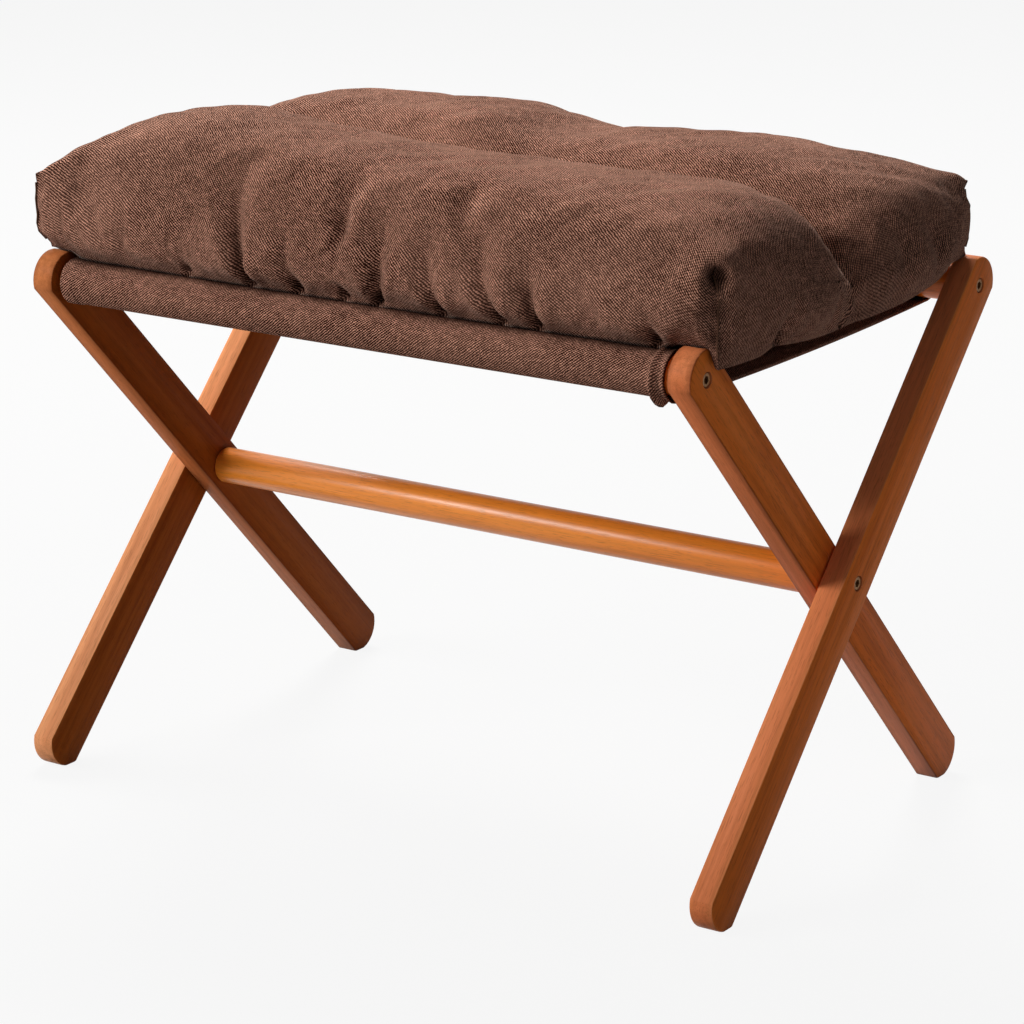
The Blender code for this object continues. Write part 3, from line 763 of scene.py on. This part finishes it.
class Cushion:
    """Grid of the cushion: a top, an underside and four side walls between their rims.

    Each vertex also has its height above the seam at the foot of each side, measured along the cloth,
    and its place along that side.
    """

    def __init__(self):
        fine = np.sin(np.linspace(-math.pi / 2, math.pi / 2, PROFILE_STEPS))
        lobe = np.full_like(fine, -0.5)
        middle = np.zeros_like(fine)
        self.s = even_steps(cushion_plan(fine, lobe, 1.0)[0], cushion_top(fine, lobe), fine)
        self.t = even_steps(cushion_plan(middle, fine, 1.0)[1], cushion_top(middle, fine), fine)
        s, t = np.meshgrid(self.s, self.t, indexing="ij")
        self.top = np.stack([*cushion_plan(s, t, 1.0), cushion_top(s, t)], -1)
        x, y = cushion_plan(s, t, UNDER_BULGE_SHARE)
        self.under = np.stack([x, y, cushion_underside(x, y)], -1)
        self.u = arcs(self.top, 0)
        self.v = arcs(self.top, 1)
        n, m = len(self.s) - 1, len(self.t) - 1
        self.sides = {
            "front": [(i, 0) for i in range(n)],
            "right": [(n, j) for j in range(m)],
            "rear": [(i, m) for i in range(n, 0, -1)],
            "left": [(0, j) for j in range(m, 0, -1)],
        }
        self.rim = np.array(sum(self.sides.values(), []))
        self.walls()
        self.faces()

    def walls(self):
        i, j = self.rim.T
        high, low = self.top[i, j], self.under[i, j]
        s, t = self.s[i], self.t[j]
        out_x = np.where(np.abs(s) > 1 - 1e-9, s * np.abs(np.sin(np.pi * t)), 0.0)
        out_y = np.where(np.abs(t) > 1 - 1e-9, t * (1 - s**4), 0.0)
        out = np.stack([out_x, out_y, np.zeros_like(s)], -1)
        levels = []
        for share in np.linspace(0, 1, WALL_STEPS + 1):
            reach = math.sin(math.pi / 2 * share)
            swell = math.sin(math.pi * share) * np.array([END_SIDE_BULGE, SIDE_BULGE, 0.0])
            levels.append(low + (high - low) * (reach, reach, share) + swell * out)
        self.wall = np.array(levels)
        step = np.linalg.norm(np.diff(self.wall, axis=0), axis=-1)
        self.climb = np.concatenate([np.zeros((1, len(s))), np.cumsum(step, axis=0)])

    def faces(self):
        """Vertices, quads with their cloth map in metres, and heights above the seams."""
        shape = self.top.shape[:2]
        top = np.arange(shape[0] * shape[1]).reshape(shape)
        inner = top.size + np.arange((WALL_STEPS - 1) * len(self.rim)).reshape(WALL_STEPS - 1, -1)
        under = inner.max() + 1 + top
        i, j = self.rim.T
        wall = np.concatenate([under[i, j][None], inner, top[i, j][None]])
        parts = (self.top, self.wall[1:-1], self.under)
        self.points = np.concatenate([part.reshape(-1, 3) for part in parts])
        self.index = {"top": top, "under": under}
        quads, maps = [], []

        def grid(index, u, v, flip):
            a, b, c, d = index[:-1, :-1], index[1:, :-1], index[1:, 1:], index[:-1, 1:]
            uv = np.stack([u, v], -1)
            corners = [uv[:-1, :-1], uv[1:, :-1], uv[1:, 1:], uv[:-1, 1:]]
            order = [3, 2, 1, 0] if flip else [0, 1, 2, 3]
            quads.append(np.stack([(a, b, c, d)[k] for k in order], -1).reshape(-1, 4))
            maps.append(np.stack([corners[k] for k in order], -2).reshape(-1, 4, 2))

        grid(top, self.u, self.v, False)
        grid(under, self.under[..., 0], self.under[..., 1], True)
        drop = self.climb[-1] - self.climb
        start = 0
        count = len(self.points)
        self.height = {side: np.full(count, 1.0) for side in self.sides}
        self.along = {side: np.zeros(count) for side in self.sides}
        for side, cells in self.sides.items():
            columns = np.arange(start, start + len(cells) + 1) % len(self.rim)
            start += len(cells)
            ri, rj = self.rim[columns].T
            u = np.broadcast_to(self.u[ri, rj], drop[:, columns].shape)
            v = np.broadcast_to(self.v[ri, rj], drop[:, columns].shape)
            edge = self.climb[-1][columns]
            if side in ("front", "rear"):
                v = v + drop[:, columns] * (-1 if side == "front" else 1)
                along = u
                order = np.argsort(ri)
                over = self.v - self.v[:, :1] if side == "front" else self.v[:, -1:] - self.v
                self.height[side][top] = over + edge[order][:, None]
                self.along[side][top] = self.u
            else:
                u = u + drop[:, columns] * (-1 if side == "left" else 1)
                along = v
                order = np.argsort(rj)
                over = self.u - self.u[:1] if side == "left" else self.u[-1:] - self.u
                self.height[side][top] = over + edge[order][None, :]
                self.along[side][top] = self.v
            self.height[side][wall[:, columns]] = self.climb[:, columns]
            self.along[side][wall[:, columns]] = along
            grid(wall[:, columns].T, u.T, v.T, False)
        x, y = self.under[..., 0], self.under[..., 1]
        for side, inward, along in (("front", y - y[:, :1], x), ("rear", y[:, -1:] - y, x),
                                    ("left", x - x[:1], y), ("right", x[-1:] - x, y)):
            self.height[side][under] = np.minimum(self.height[side][under], -inward)
            self.along[side][under] = along
        self.quads = np.concatenate(quads)
        self.map = np.concatenate(maps)
        firsts = np.cumsum([0] + [len(cells) for cells in self.sides.values()])[:-1]
        self.corners = wall[:, firsts]
        self.foot = wall[0]


def bent_line(share, foot, middle, head):
    """Place along a curve through its foot, middle and head."""
    low = foot * (1 - share) * (1 - 2 * share)
    return low + 4 * middle * share * (1 - share) + head * share * (2 * share - 1)


def fold_relief(height, along, folds):
    """How far folds lift or sink the cloth: a crease that widens and fades upward, between two rolls."""
    relief = np.zeros_like(height)
    for start, end, foot, middle, head, depth, width in folds:
        share = np.clip((height - start) / (end - start), 0.0, 1.0)
        away = np.abs(along - bent_line(share, foot, middle, head))
        reach = away / (width * (CREASE_FOOT + CREASE_SPREAD * share))
        rolls = ROLL_HEIGHT * bell(reach - ROLL_PLACE, ROLL_WIDTH)
        fade = 1 - smooth_step(CREASE_FADE, 1.0, share)
        if start > 0:
            opening = smooth_step(start, start + SOFT_CREASE_OPENING * (end - start), height)
            relief += depth * fade * opening * (rolls - np.exp(-(reach**SOFT_CREASE_POWER)))
        else:
            crease = smooth_step(0.0, CREASE_RISE, height) * np.exp(-(reach**CREASE_POWER))
            relief += depth * fade * (rolls * smooth_step(0.0, ROLL_RISE, height) - crease)
            notch = np.clip(1 - height / NOTCH_HEIGHT, 0.0, 1.0)
            dent = bell(away, NOTCH_WIDTH * notch + 1e-6)
            relief -= NOTCH_DEPTH * notch * dent * smooth_step(0.0, CREASE_RISE, height)
    return relief


def ripple(along, height):
    """Slight unevenness of stuffed cloth."""
    draw = np.random.default_rng(RIPPLE_SEED)
    total = np.zeros_like(along)
    for _ in range(RIPPLE_WAVES):
        angle = draw.uniform(0, math.pi)
        wave = 2 * math.pi / draw.uniform(*RIPPLE_LENGTHS)
        phase = draw.uniform(0, 2 * math.pi)
        total += np.sin(wave * (along * math.cos(angle) + height * math.sin(angle)) + phase)
    return total * RIPPLE_HEIGHT


def corner_tuck(points):
    """Draws the cloth in along the upright corner seams, most at their heads."""
    moved = points.copy()
    for side_x, side_y, drawn, tuck, wave in CORNERS:
        corner = np.array([side_x * CUSHION_LENGTH / 2, side_y * CUSHION_DEPTH / 2])
        away = np.linalg.norm(points[:, :2] - corner, axis=1)
        rise = points[:, 2] - CUSHION_BASE_Z
        on_seam = smooth_step(*SEAM_START, rise)
        on_seam = on_seam * (1 - smooth_step(0.0, SEAM_END_RUN, rise - CORNER_SEAM_HEIGHT))
        pull = (drawn + wave * np.sin(rise / SEAM_WAVE)) * bell(away, SEAM_WIDTH) * on_seam
        head = np.sqrt(away**2 + (rise - CORNER_SEAM_HEIGHT + TUCK_DROP) ** 2)
        pull = pull + tuck * bell(head, TUCK_WIDTH)
        pull = pull - TUCK_RING * tuck * bell(head - 2.0 * TUCK_WIDTH, TUCK_WIDTH)
        if side_x < 0:
            near_foot = smooth_step(FOOT_RISE, 0.0, rise) ** 2
            pull = pull + FOOT_ROUND * bell(away, 2 * SEAM_WIDTH) * near_foot
        moved[:, 0] -= side_x * CORNER_PULL[0] * pull
        moved[:, 1] -= side_y * CORNER_PULL[1] * pull
    return moved


def swell(cushion):
    """Blows the cushion up a little as cloth held at its seams and channel."""
    obj = new_mesh("cushion_cloth_run", cushion.points, cushion.quads)
    held = np.zeros(len(cushion.points), bool)
    held[cushion.index["under"]] = True
    held[cushion.index["top"][:, len(cushion.t) // 2]] = True
    held[cushion.corners] = True
    group = obj.vertex_groups.new(name="held")
    group.add([int(k) for k in np.nonzero(held)[0]], 1.0, "REPLACE")
    cloth = obj.modifiers.new("cloth", "CLOTH")
    settings = cloth.settings
    settings.quality = 5
    settings.mass = 0.3
    settings.tension_stiffness = 15
    settings.compression_stiffness = 15
    settings.shear_stiffness = 5
    settings.bending_stiffness = 0.5
    settings.use_pressure = True
    settings.uniform_pressure_force = PRESSURE
    settings.shrink_min = CLOTH_SLACK
    settings.vertex_group_mass = "held"
    settings.effector_weights.gravity = 0.0
    cloth.collision_settings.use_collision = False
    cloth.point_cache.frame_start = 1
    cloth.point_cache.frame_end = SIM_FRAMES
    scene = bpy.context.scene
    for step in range(1, SIM_FRAMES + 1):
        scene.frame_set(step)
    run = obj.evaluated_get(bpy.context.evaluated_depsgraph_get()).data
    blown = vertex_places(run)
    scene.frame_set(1)
    bpy.data.objects.remove(obj, do_unlink=True)
    move = blown - cushion.points
    size = np.linalg.norm(move, axis=1, keepdims=True)
    return cushion.points + move * np.minimum(1.0, SWELL_CAP / np.maximum(size, 1e-9))


def dress(mesh):
    """Presses the folds, ripples and corner tucks into the finer mesh."""
    points = vertex_places(mesh)
    count = len(points)
    normals = np.empty(count * 3)
    mesh.vertex_normals.foreach_get("vector", normals)
    corners = loop_vertices(mesh)
    relief = np.zeros(count)
    for side, folds in FOLDS.items():
        loops = np.empty(len(corners) * 2)
        mesh.uv_layers[side].data.foreach_get("uv", loops)
        place = np.zeros((count, 2))
        place[corners] = loops.reshape(-1, 2)
        above, along = place.T
        relief += fold_relief(above, along, folds)
        foot_roll = smooth_step(0.0, FOOT_ROLL_HEIGHT, above) * smooth_step(*FOOT_ROLL_FADE, above)
        relief += FOOT_ROLLS[side] * foot_roll
        mesh.uv_layers.remove(mesh.uv_layers[side])
        if side == "front":
            relief += ripple(along, above) * smooth_step(0.0, RIPPLE_RISE, above)
    across = np.abs(points[:, :2]) - (CUSHION_LENGTH / 2, CUSHION_DEPTH / 2)
    relief *= smooth_step(*CORNER_REACH, np.hypot(across[:, 0], across[:, 1]))
    points = points + normals.reshape(-1, 3) * relief[:, None]
    mesh.vertices.foreach_set("co", corner_tuck(points).ravel())
    mesh.update()


def make_cushion():
    cushion = Cushion()
    points = swell(cushion)
    obj = new_mesh("cushion_cover", points, cushion.quads, cushion.map)
    corners = loop_vertices(obj.data)
    for side in cushion.sides:
        place = np.stack([cushion.height[side], cushion.along[side]], -1)
        obj.data.uv_layers.new(name=side).data.foreach_set("uv", place[corners].ravel())
    sharpen(obj.data, [*cushion.corners.T.tolist(), [*cushion.foot.tolist(), int(cushion.foot[0])]])
    subdivide(obj)
    dress(obj.data)
    obj.data.materials.append(cloth("cushion_weave", *CUSHION_CLOTH))
    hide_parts("cushion")
    across_fold(obj)
    seams = thread("seam_thread", SEAM_THREAD)
    finished = vertex_places(obj.data)
    names = ("front_left", "front_right", "rear_right", "rear_left")
    for name, column in zip(names, cushion.corners.T):
        path = finished[column][1:-1]
        out = np.sign(path[0]) * (1, 1, 0)
        cord = tube("corner_seam_" + name, path + SEAM_STAND_OFF * out, SEAM_RADIUS)
        cord.data.materials.append(seams)
        across_fold(cord)


def sling_path(radius, count):
    """Closed (y, z) path round both rails, with its outward directions and arc length."""
    fine = []
    upper_y = RAIL_Y - radius * math.sin(SLING_TOP_DIP)
    lower_y = RAIL_Y - radius * math.sin(SLING_BOTTOM_DIP)
    lower_bend = math.tan(SLING_BOTTOM_DIP) / (2 * lower_y)
    lower_z = RAIL_Z - radius * math.cos(SLING_BOTTOM_DIP)
    y = np.linspace(upper_y, -upper_y, PATH_STEPS)
    fine.append(np.stack([y, seat_height(y, radius)], -1))
    turn = np.linspace(math.pi / 2 - SLING_TOP_DIP, 1.5 * math.pi - SLING_BOTTOM_DIP, PATH_STEPS)
    fine.append(np.stack([-RAIL_Y + radius * np.cos(turn), RAIL_Z + radius * np.sin(turn)], -1))
    y = np.linspace(-lower_y, lower_y, PATH_STEPS)
    fine.append(np.stack([y, lower_z + lower_bend * (y * y - lower_y**2)], -1))
    fine.append(np.stack([RAIL_Y - radius * np.cos(turn[::-1]), RAIL_Z + radius * np.sin(turn[::-1])], -1))
    path = np.concatenate(fine)
    path = np.concatenate([path, path[:1]])
    arc = np.concatenate([[0.0], np.cumsum(np.linalg.norm(np.diff(path, axis=0), axis=1))])
    even = np.linspace(0, arc[-1], count, endpoint=False)
    points = np.stack([np.interp(even, arc, path[:, k]) for k in range(2)], -1)
    ahead = np.roll(points, -1, axis=0) - np.roll(points, 1, axis=0)
    out = np.stack([ahead[:, 1], -ahead[:, 0]], -1)
    out /= np.linalg.norm(out, axis=1, keepdims=True)
    return points, out, even


def sling_relief(x, y, z):
    """Outward lift of the sling's cloth: raised hems, and a ruffle at the right end of the front sleeve."""
    from_end = SLING_WIDTH / 2 - np.abs(x)
    hem = HEM_RISE * (1 - smooth_step(HEM_WIDTH - HEM_EDGE, HEM_WIDTH, from_end))
    stitch = -STITCH_DEPTH * bell(from_end - HEM_WIDTH + STITCH_INSET, STITCH_WIDTH)
    front = smooth_step(*RUFFLE_FRONT, y)
    below = smooth_step(RAIL_Z + SLEEVE_RADIUS, RAIL_Z - SLEEVE_RADIUS, z)
    waves = sum(share * bell(from_end - place, width) for share, place, width in RUFFLE_WAVES)
    fullness = RUFFLE_TOP_SHARE + (1 - RUFFLE_TOP_SHARE) * below
    return hem + stitch + RUFFLE_HEIGHT * waves * front * fullness * (x > 0)


def make_sling():
    count = SLING_STEPS
    points, out, arc = sling_path(SLEEVE_RADIUS, count)
    half = SLING_WIDTH / 2
    end = np.linspace(half - SLING_END_RUN, half, SLING_END_STEPS)
    x = np.concatenate([-end[::-1], np.linspace(-end[0], end[0], SLING_MIDDLE_STEPS)[1:-1], end])
    steps = len(x) - 1
    grid_x = np.broadcast_to(x[:, None], (steps + 1, count))
    lift = sling_relief(grid_x, points[:, 0], points[:, 1])
    layers = []
    for depth in (SLING_THICKNESS, 0.0):
        yz = points[None] + out[None] * (lift - depth)[..., None]
        layers.append(np.concatenate([grid_x[..., None], yz], -1))
    inner = np.arange((steps + 1) * count).reshape(steps + 1, count)
    outer = inner + inner.size
    quads, maps = [], []
    after = np.roll(np.arange(count), -1)
    v0, v1 = arc, arc + arc[1]
    for index, flip in ((inner, False), (outer, True)):
        a, b, c, d = index[:-1], index[1:], index[1:][:, after], index[:-1][:, after]
        order = (3, 2, 1, 0) if flip else (0, 1, 2, 3)
        quads.append(np.stack([(a, b, c, d)[k] for k in order], -1).reshape(-1, 4))
        u0 = np.broadcast_to(x[:-1, None], a.shape)
        u1 = np.broadcast_to(x[1:, None], a.shape)
        w0 = np.broadcast_to(v0, a.shape)
        w1 = np.broadcast_to(v1, a.shape)
        corners = [np.stack(p, -1) for p in ((u0, w0), (u1, w0), (u1, w1), (u0, w1))]
        maps.append(np.stack([corners[k] for k in order], -2).reshape(-1, 4, 2))
    for row, flip in ((0, False), (steps, True)):
        a, b, c, d = inner[row], inner[row][after], outer[row][after], outer[row]
        order = (3, 2, 1, 0) if flip else (0, 1, 2, 3)
        quads.append(np.stack([(a, b, c, d)[k] for k in order], -1))
        edge = np.full(count, x[row])
        turned = edge + SLING_THICKNESS
        corners = [np.stack(p, -1) for p in ((edge, v0), (edge, v1), (turned, v1), (turned, v0))]
        maps.append(np.stack([corners[k] for k in order], -2))
    obj = new_mesh("sling_cloth_loop", np.concatenate([layer.reshape(-1, 3) for layer in layers]),
                   np.concatenate(quads), np.concatenate(maps))
    obj.data.materials.append(cloth("sling_weave", *SLING_CLOTH))
    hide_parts("sling")
    across_fold(obj)


camera()
studio()
finish_frame()
make_sling()
make_cushion()
